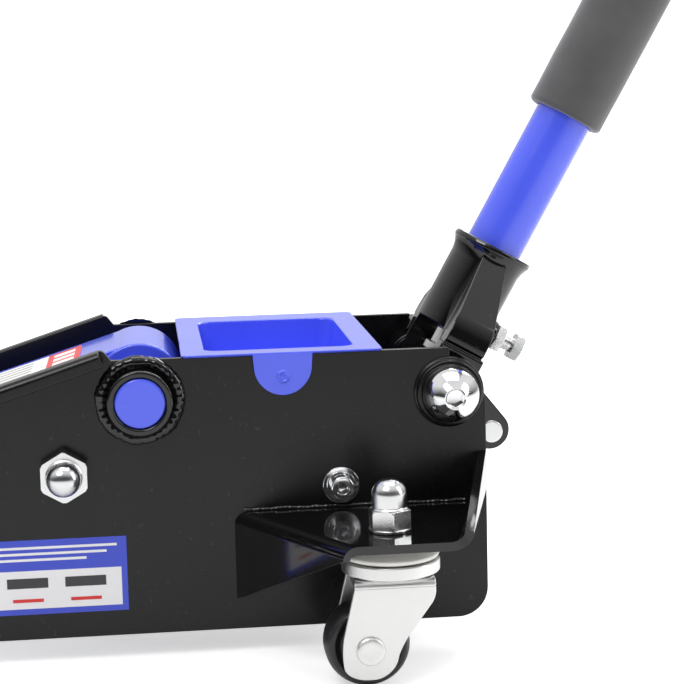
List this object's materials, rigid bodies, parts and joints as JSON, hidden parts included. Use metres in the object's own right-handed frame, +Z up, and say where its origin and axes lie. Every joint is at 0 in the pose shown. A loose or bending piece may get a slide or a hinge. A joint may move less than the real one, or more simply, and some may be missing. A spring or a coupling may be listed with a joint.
{
  "type": "hydraulic trolley jack",
  "caption": "Low-profile hydraulic trolley jack with a long two-piece pump handle, tool tray, lift arm with round saddle and swivel casters.",
  "frame": {"origin": "on the ground, at the middle of the bounding box in plan", "axes": "+Z up, +X towards the handle end, -X towards the saddle end, +Y towards the jack's right side"},
  "size_m": [1.2848, 0.362, 1.1466],
  "materials": {
    "frame_black": "gloss black powder coat",
    "jack_blue": "gloss royal blue paint",
    "zinc": "bright zinc plate",
    "bright_chrome": "polished chrome",
    "bare_steel": "turned steel",
    "casting": "cast, dark oil finish",
    "black_rubber": "matt black foam and rubber",
    "black_plastic": "moulded black nylon"
  },
  "bodies": {
    "frame": {"side_plate_left": "frame_black", "side_plate_right": "frame_black", "caster_bracket_left": "frame_black", "caster_bracket_right": "frame_black", "lift_boss_left": "frame_black", "lift_boss_right": "frame_black", "tie_rod": "zinc", "tie_rod_nut_left": "zinc", "tie_rod_nut_right": "zinc", "front_axle": "bare_steel", "axle_clip_left": "zinc", "axle_clip_right": "zinc", "mounting_screw_left": "zinc", "mounting_screw_right": "zinc", "power_unit_base": "casting", "ram_cylinder": "bare_steel", "reservoir_tank": "frame_black", "filler_plug": "black_rubber", "pump_cylinder": "bare_steel", "tray": "jack_blue", "pivot_bolt_left": "bright_chrome", "pivot_bolt_right": "bright_chrome", "caster_race_left": "zinc", "caster_race_right": "zinc", "caster_nut_left": "zinc", "caster_nut_right": "zinc", "return_spring_left": "bare_steel", "return_spring_right": "bare_steel", "plunger_spring": "bare_steel"},
    "lift_arm": {"lift_arm": "jack_blue", "lift_shaft": "jack_blue", "lever_pin": "zinc", "saddle_pin": "zinc"},
    "saddle_bracket": {"saddle_bracket": "frame_black", "radius_rod_pin": "zinc"},
    "saddle": {"saddle": "frame_black"},
    "radius_rod": {"radius_rod": "frame_black"},
    "links": {"link_plate_left": "zinc", "link_plate_right": "zinc"},
    "ram": {"ram_rod": "bright_chrome", "crosshead_pin": "zinc"},
    "handle_socket": {"handle_socket": "frame_black", "roller_pin": "zinc", "set_bolt": "zinc", "set_nut": "zinc"},
    "pump_roller": {"pump_roller": "bare_steel"},
    "handle": {"handle_tube_lower": "jack_blue", "foam_sleeve": "black_rubber", "handle_tube_upper": "jack_blue", "handle_grip": "black_rubber", "drive_fork": "bare_steel"},
    "lock_button": {"lock_button": "zinc"},
    "release_valve": {"release_valve": "bare_steel"},
    "pump_plunger": {"pump_plunger": "bright_chrome"},
    "front_wheel_left": {"front_wheel_left": "bare_steel"},
    "caster_swivel_left": {"caster_fork_left": "zinc"},
    "caster_wheel_left": {"caster_wheel_left": "black_plastic"},
    "front_wheel_right": {"front_wheel_right": "bare_steel"},
    "caster_swivel_right": {"caster_fork_right": "zinc"},
    "caster_wheel_right": {"caster_wheel_right": "black_plastic"}
  },
  "joints": [
    {"name": "lift", "type": "hinge", "parent": "frame", "child": "lift_arm", "pos_m": [-0.11239, 0, 0.1568], "axis": [0, 1, 0], "range_deg": [0, 64.8]},
    {"name": "saddle_level", "type": "hinge", "parent": "lift_arm", "child": "saddle_bracket", "pos_m": [-0.48946, 0, 0.05718], "axis": [0, 1, 0], "range_deg": [-64.8, 0]},
    {"name": "radius_rod_swing", "type": "hinge", "parent": "frame", "child": "radius_rod", "pos_m": [-0.15799, 0, 0.1146], "axis": [0, 1, 0], "range_deg": [0, 64.8]},
    {"name": "link_swing", "type": "hinge", "parent": "lift_arm", "child": "links", "pos_m": [-0.07172, 0, 0.11001], "axis": [0, 1, 0], "range_deg": [-64.8, 0]},
    {"name": "ram_slide", "type": "slide", "parent": "frame", "child": "ram", "axis": [-1, 0, 0], "range_m": [0, 0.0657], "deforming": ["return_spring_left", "return_spring_right"]},
    {"name": "saddle_spin", "type": "hinge", "parent": "saddle_bracket", "child": "saddle", "pos_m": [-0.5174, 0, 0.09], "axis": [0, 0, 1], "continuous": true},
    {"name": "pump_handle", "type": "hinge", "parent": "frame", "child": "handle_socket", "pos_m": [0.0704, 0, 0.154], "axis": [0, 1, 0], "range_deg": [-15, 32]},
    {"name": "pump_stroke", "type": "slide", "parent": "frame", "child": "pump_plunger", "axis": [-0.7071, 0, -0.7071], "range_m": [-0.0105, 0.0222], "deforming": ["plunger_spring"]},
    {"name": "roller_spin", "type": "hinge", "parent": "handle_socket", "child": "pump_roller", "pos_m": [0.09968, 0, 0.12473], "axis": [0, 1, 0], "continuous": true},
    {"name": "handle_twist", "type": "hinge", "parent": "handle_socket", "child": "handle", "pos_m": [0.0704, 0, 0.154], "axis": [0.4924, 0, 0.8704], "range_deg": [0, 180]},
    {"name": "valve_turn", "type": "hinge", "parent": "frame", "child": "release_valve", "pos_m": [0.0704, 0, 0.154], "axis": [0.7071, 0, 0.7071], "range_deg": [0, 180]},
    {"name": "lock_press", "type": "slide", "parent": "handle", "child": "lock_button", "axis": [0.8704, 0, -0.4924], "range_m": [0, 0.003], "stiffness_N_per_m": 600, "springref_m": -0.002},
    {"name": "front_wheel_spin_left", "type": "hinge", "parent": "frame", "child": "front_wheel_left", "pos_m": [-0.6024, -0.1, 0.032], "axis": [0, 1, 0], "continuous": true},
    {"name": "caster_swivel_left", "type": "hinge", "parent": "frame", "child": "caster_swivel_left", "pos_m": [0.0251, -0.1474, 0.07], "axis": [0, 0, 1], "continuous": true},
    {"name": "caster_spin_left", "type": "hinge", "parent": "caster_swivel_left", "child": "caster_wheel_left", "pos_m": [0.01021, -0.1474, 0.0243], "axis": [0, 1, 0], "continuous": true},
    {"name": "front_wheel_spin_right", "type": "hinge", "parent": "frame", "child": "front_wheel_right", "pos_m": [-0.6024, 0.1, 0.032], "axis": [0, 1, 0], "continuous": true},
    {"name": "caster_swivel_right", "type": "hinge", "parent": "frame", "child": "caster_swivel_right", "pos_m": [0.0251, 0.1474, 0.07], "axis": [0, 0, 1], "continuous": true},
    {"name": "caster_spin_right", "type": "hinge", "parent": "caster_swivel_right", "child": "caster_wheel_right", "pos_m": [0.01021, 0.1474, 0.0243], "axis": [0, 1, 0], "continuous": true}
  ],
  "couplings": [
    {"joint": "saddle_level", "follows": "lift", "ratio": -1},
    {"joint": "radius_rod_swing", "follows": "lift", "ratio": 1},
    {"joint": "link_swing", "follows": "lift", "ratio": -1},
    {"joint": "ram_slide", "follows": "lift", "m_per_rad": 0.05809},
    {"joint": "pump_stroke", "follows": "pump_handle", "m_per_rad": 0.0395},
    {"joint": "valve_turn", "follows": "handle_twist", "ratio": 1}
  ]
}
